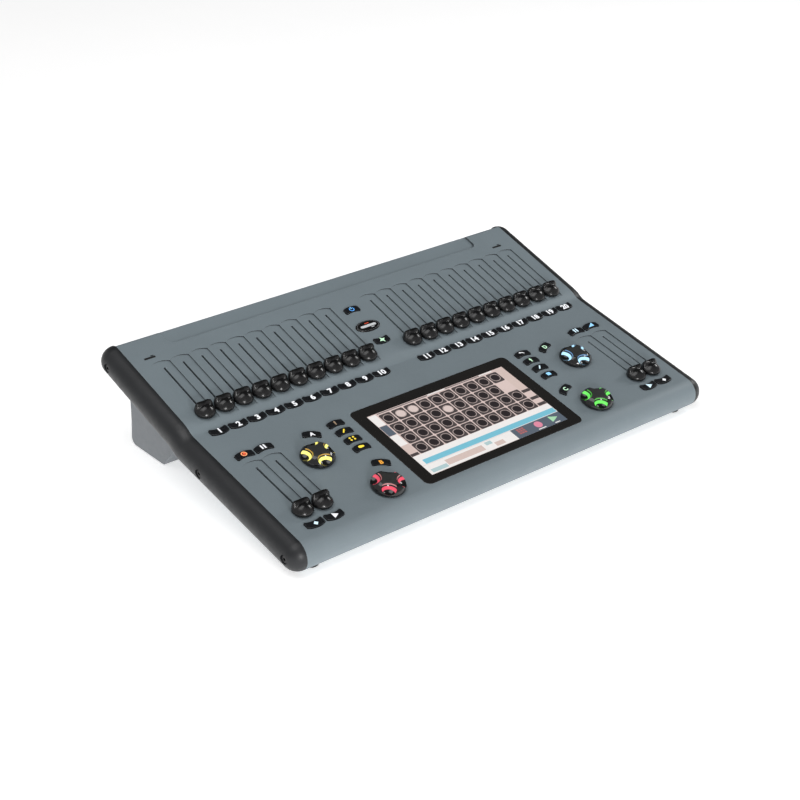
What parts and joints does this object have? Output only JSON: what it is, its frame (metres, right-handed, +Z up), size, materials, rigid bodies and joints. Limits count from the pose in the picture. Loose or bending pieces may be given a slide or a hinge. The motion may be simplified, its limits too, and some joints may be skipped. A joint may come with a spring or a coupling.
{
  "type": "lighting control desk",
  "caption": "Slim bent console slab between round black end cheeks, propped on a rear housing, with sliding faders, turning encoders, lit keys and a touch screen.",
  "frame": {"origin": "on the table, under the middle of the desk's box", "axes": "+X to the operator's right, +Y to the rear connectors, +Z up"},
  "size_m": [0.467, 0.2828, 0.0995],
  "materials": {
    "panel": "fine-textured satin powder coat, blue-grey",
    "housing": "fine-textured satin powder coat, grey",
    "cheek": "fine-grained moulded charcoal",
    "screw": "black oxide steel",
    "lens": "polished black with a clear window",
    "display": "lit display",
    "badge": "polished black",
    "board": "green laminate",
    "supply": "folded cover",
    "rail": "folded and plated",
    "encoder": "die-cast",
    "socket": "moulded black",
    "port": "plated shell",
    "rubber": "matte black",
    "cap": "polished black",
    "knob": "polished black with coloured light crescents",
    "key": "black, finely textured, lit marks"
  },
  "bodies": {
    "desk": {"top_panel": "panel", "bottom_pan": "panel", "rear_housing": "housing", "rear_plate": "housing", "left_cheek": "cheek", "right_cheek": "cheek", "cheek_screws": "screw", "case_screws": "screw", "screen_lens": "lens", "display_module": "display", "badge": "badge", "panel_boards": "board", "main_board": "board", "power_supply": "supply", "fader_rails": "rail", "encoder_bases": "encoder", "dmx_sockets": "socket", "data_sockets": "port", "power_inlet": "socket", "feet": "rubber"},
    "submaster_fader_01": {"submaster_fader_01": "cap"},
    "submaster_fader_02": {"submaster_fader_02": "cap"},
    "submaster_fader_03": {"submaster_fader_03": "cap"},
    "submaster_fader_04": {"submaster_fader_04": "cap"},
    "submaster_fader_05": {"submaster_fader_05": "cap"},
    "submaster_fader_06": {"submaster_fader_06": "cap"},
    "submaster_fader_07": {"submaster_fader_07": "cap"},
    "submaster_fader_08": {"submaster_fader_08": "cap"},
    "submaster_fader_09": {"submaster_fader_09": "cap"},
    "submaster_fader_10": {"submaster_fader_10": "cap"},
    "submaster_fader_11": {"submaster_fader_11": "cap"},
    "submaster_fader_12": {"submaster_fader_12": "cap"},
    "submaster_fader_13": {"submaster_fader_13": "cap"},
    "submaster_fader_14": {"submaster_fader_14": "cap"},
    "submaster_fader_15": {"submaster_fader_15": "cap"},
    "submaster_fader_16": {"submaster_fader_16": "cap"},
    "submaster_fader_17": {"submaster_fader_17": "cap"},
    "submaster_fader_18": {"submaster_fader_18": "cap"},
    "submaster_fader_19": {"submaster_fader_19": "cap"},
    "submaster_fader_20": {"submaster_fader_20": "cap"},
    "playback_fader_1": {"playback_fader_1": "cap"},
    "playback_fader_2": {"playback_fader_2": "cap"},
    "playback_fader_3": {"playback_fader_3": "cap"},
    "playback_fader_4": {"playback_fader_4": "cap"},
    "encoder_knob_1": {"encoder_knob_1": "knob"},
    "encoder_knob_2": {"encoder_knob_2": "knob"},
    "encoder_knob_3": {"encoder_knob_3": "knob"},
    "encoder_knob_4": {"encoder_knob_4": "knob"},
    "number_keys_1_10": {"number_keys_1_10": "key"},
    "number_keys_11_20": {"number_keys_11_20": "key"},
    "screen_keys_left": {"screen_keys_left": "key"},
    "screen_keys_right": {"screen_keys_right": "key"},
    "encoder_keys_left": {"encoder_keys_left": "key"},
    "encoder_keys_right": {"encoder_keys_right": "key"},
    "transport_keys_left": {"transport_keys_left": "key"},
    "transport_keys_right": {"transport_keys_right": "key"},
    "flash_keys": {"flash_keys": "key"},
    "power_key": {"power_key": "key"},
    "macro_key": {"macro_key": "key"},
    "power_switch_rocker": {"power_switch_rocker": "socket"}
  },
  "joints": [
    {"name": "submaster_01", "type": "slide", "parent": "desk", "child": "submaster_fader_01", "axis": [0, 0.9511, 0.309], "range_m": [0, 0.06]},
    {"name": "submaster_02", "type": "slide", "parent": "desk", "child": "submaster_fader_02", "axis": [0, 0.9511, 0.309], "range_m": [0, 0.06]},
    {"name": "submaster_03", "type": "slide", "parent": "desk", "child": "submaster_fader_03", "axis": [0, 0.9511, 0.309], "range_m": [0, 0.06]},
    {"name": "submaster_04", "type": "slide", "parent": "desk", "child": "submaster_fader_04", "axis": [0, 0.9511, 0.309], "range_m": [0, 0.06]},
    {"name": "submaster_05", "type": "slide", "parent": "desk", "child": "submaster_fader_05", "axis": [0, 0.9511, 0.309], "range_m": [0, 0.06]},
    {"name": "submaster_06", "type": "slide", "parent": "desk", "child": "submaster_fader_06", "axis": [0, 0.9511, 0.309], "range_m": [0, 0.06]},
    {"name": "submaster_07", "type": "slide", "parent": "desk", "child": "submaster_fader_07", "axis": [0, 0.9511, 0.309], "range_m": [0, 0.06]},
    {"name": "submaster_08", "type": "slide", "parent": "desk", "child": "submaster_fader_08", "axis": [0, 0.9511, 0.309], "range_m": [0, 0.06]},
    {"name": "submaster_09", "type": "slide", "parent": "desk", "child": "submaster_fader_09", "axis": [0, 0.9511, 0.309], "range_m": [0, 0.06]},
    {"name": "submaster_10", "type": "slide", "parent": "desk", "child": "submaster_fader_10", "axis": [0, 0.9511, 0.309], "range_m": [0, 0.06]},
    {"name": "submaster_11", "type": "slide", "parent": "desk", "child": "submaster_fader_11", "axis": [0, 0.9511, 0.309], "range_m": [0, 0.06]},
    {"name": "submaster_12", "type": "slide", "parent": "desk", "child": "submaster_fader_12", "axis": [0, 0.9511, 0.309], "range_m": [0, 0.06]},
    {"name": "submaster_13", "type": "slide", "parent": "desk", "child": "submaster_fader_13", "axis": [0, 0.9511, 0.309], "range_m": [0, 0.06]},
    {"name": "submaster_14", "type": "slide", "parent": "desk", "child": "submaster_fader_14", "axis": [0, 0.9511, 0.309], "range_m": [0, 0.06]},
    {"name": "submaster_15", "type": "slide", "parent": "desk", "child": "submaster_fader_15", "axis": [0, 0.9511, 0.309], "range_m": [0, 0.06]},
    {"name": "submaster_16", "type": "slide", "parent": "desk", "child": "submaster_fader_16", "axis": [0, 0.9511, 0.309], "range_m": [0, 0.06]},
    {"name": "submaster_17", "type": "slide", "parent": "desk", "child": "submaster_fader_17", "axis": [0, 0.9511, 0.309], "range_m": [0, 0.06]},
    {"name": "submaster_18", "type": "slide", "parent": "desk", "child": "submaster_fader_18", "axis": [0, 0.9511, 0.309], "range_m": [0, 0.06]},
    {"name": "submaster_19", "type": "slide", "parent": "desk", "child": "submaster_fader_19", "axis": [0, 0.9511, 0.309], "range_m": [0, 0.06]},
    {"name": "submaster_20", "type": "slide", "parent": "desk", "child": "submaster_fader_20", "axis": [0, 0.9511, 0.309], "range_m": [0, 0.06]},
    {"name": "playback_1", "type": "slide", "parent": "desk", "child": "playback_fader_1", "axis": [0, 0.9774, 0.2113], "range_m": [0, 0.06]},
    {"name": "playback_2", "type": "slide", "parent": "desk", "child": "playback_fader_2", "axis": [0, 0.9774, 0.2113], "range_m": [0, 0.06]},
    {"name": "playback_3", "type": "slide", "parent": "desk", "child": "playback_fader_3", "axis": [0, 0.9774, 0.2113], "range_m": [0, 0.06]},
    {"name": "playback_4", "type": "slide", "parent": "desk", "child": "playback_fader_4", "axis": [0, 0.9774, 0.2113], "range_m": [0, 0.06]},
    {"name": "encoder_1", "type": "hinge", "parent": "desk", "child": "encoder_knob_1", "pos_m": [-0.147, -0.05777, 0.04448], "axis": [0, -0.2113, 0.9774], "continuous": true},
    {"name": "encoder_2", "type": "hinge", "parent": "desk", "child": "encoder_knob_2", "pos_m": [-0.1188, -0.11417, 0.03229], "axis": [0, -0.2113, 0.9774], "continuous": true},
    {"name": "encoder_3", "type": "hinge", "parent": "desk", "child": "encoder_knob_3", "pos_m": [0.147, -0.05777, 0.04448], "axis": [0, -0.2113, 0.9774], "continuous": true},
    {"name": "encoder_4", "type": "hinge", "parent": "desk", "child": "encoder_knob_4", "pos_m": [0.1188, -0.11417, 0.03229], "axis": [0, -0.2113, 0.9774], "continuous": true},
    {"name": "number_keys_1_10_press", "type": "slide", "parent": "desk", "child": "number_keys_1_10", "axis": [0, 0.2113, -0.9774], "range_m": [0, 0.001], "stiffness_N_per_m": 600, "springref_m": -0.001},
    {"name": "number_keys_11_20_press", "type": "slide", "parent": "desk", "child": "number_keys_11_20", "axis": [0, 0.2113, -0.9774], "range_m": [0, 0.001], "stiffness_N_per_m": 600, "springref_m": -0.001},
    {"name": "screen_keys_left_press", "type": "slide", "parent": "desk", "child": "screen_keys_left", "axis": [0, 0.2113, -0.9774], "range_m": [0, 0.001], "stiffness_N_per_m": 600, "springref_m": -0.001},
    {"name": "screen_keys_right_press", "type": "slide", "parent": "desk", "child": "screen_keys_right", "axis": [0, 0.2113, -0.9774], "range_m": [0, 0.001], "stiffness_N_per_m": 600, "springref_m": -0.001},
    {"name": "encoder_keys_left_press", "type": "slide", "parent": "desk", "child": "encoder_keys_left", "axis": [0, 0.2113, -0.9774], "range_m": [0, 0.001], "stiffness_N_per_m": 600, "springref_m": -0.001},
    {"name": "encoder_keys_right_press", "type": "slide", "parent": "desk", "child": "encoder_keys_right", "axis": [0, 0.2113, -0.9774], "range_m": [0, 0.001], "stiffness_N_per_m": 600, "springref_m": -0.001},
    {"name": "transport_keys_left_press", "type": "slide", "parent": "desk", "child": "transport_keys_left", "axis": [0, 0.2113, -0.9774], "range_m": [0, 0.001], "stiffness_N_per_m": 600, "springref_m": -0.001},
    {"name": "transport_keys_right_press", "type": "slide", "parent": "desk", "child": "transport_keys_right", "axis": [0, 0.2113, -0.9774], "range_m": [0, 0.001], "stiffness_N_per_m": 600, "springref_m": -0.001},
    {"name": "flash_keys_press", "type": "slide", "parent": "desk", "child": "flash_keys", "axis": [0, 0.2113, -0.9774], "range_m": [0, 0.001], "stiffness_N_per_m": 600, "springref_m": -0.001},
    {"name": "power_key_press", "type": "slide", "parent": "desk", "child": "power_key", "axis": [0, 0.309, -0.9511], "range_m": [0, 0.001], "stiffness_N_per_m": 600, "springref_m": -0.001},
    {"name": "macro_key_press", "type": "slide", "parent": "desk", "child": "macro_key", "axis": [0, 0.309, -0.9511], "range_m": [0, 0.001], "stiffness_N_per_m": 600, "springref_m": -0.001},
    {"name": "power_switch", "type": "hinge", "parent": "desk", "child": "power_switch_rocker", "pos_m": [-0.132, 0.12742, 0.036], "axis": [1, 0, 0], "range_deg": [0, 16]}
  ]
}
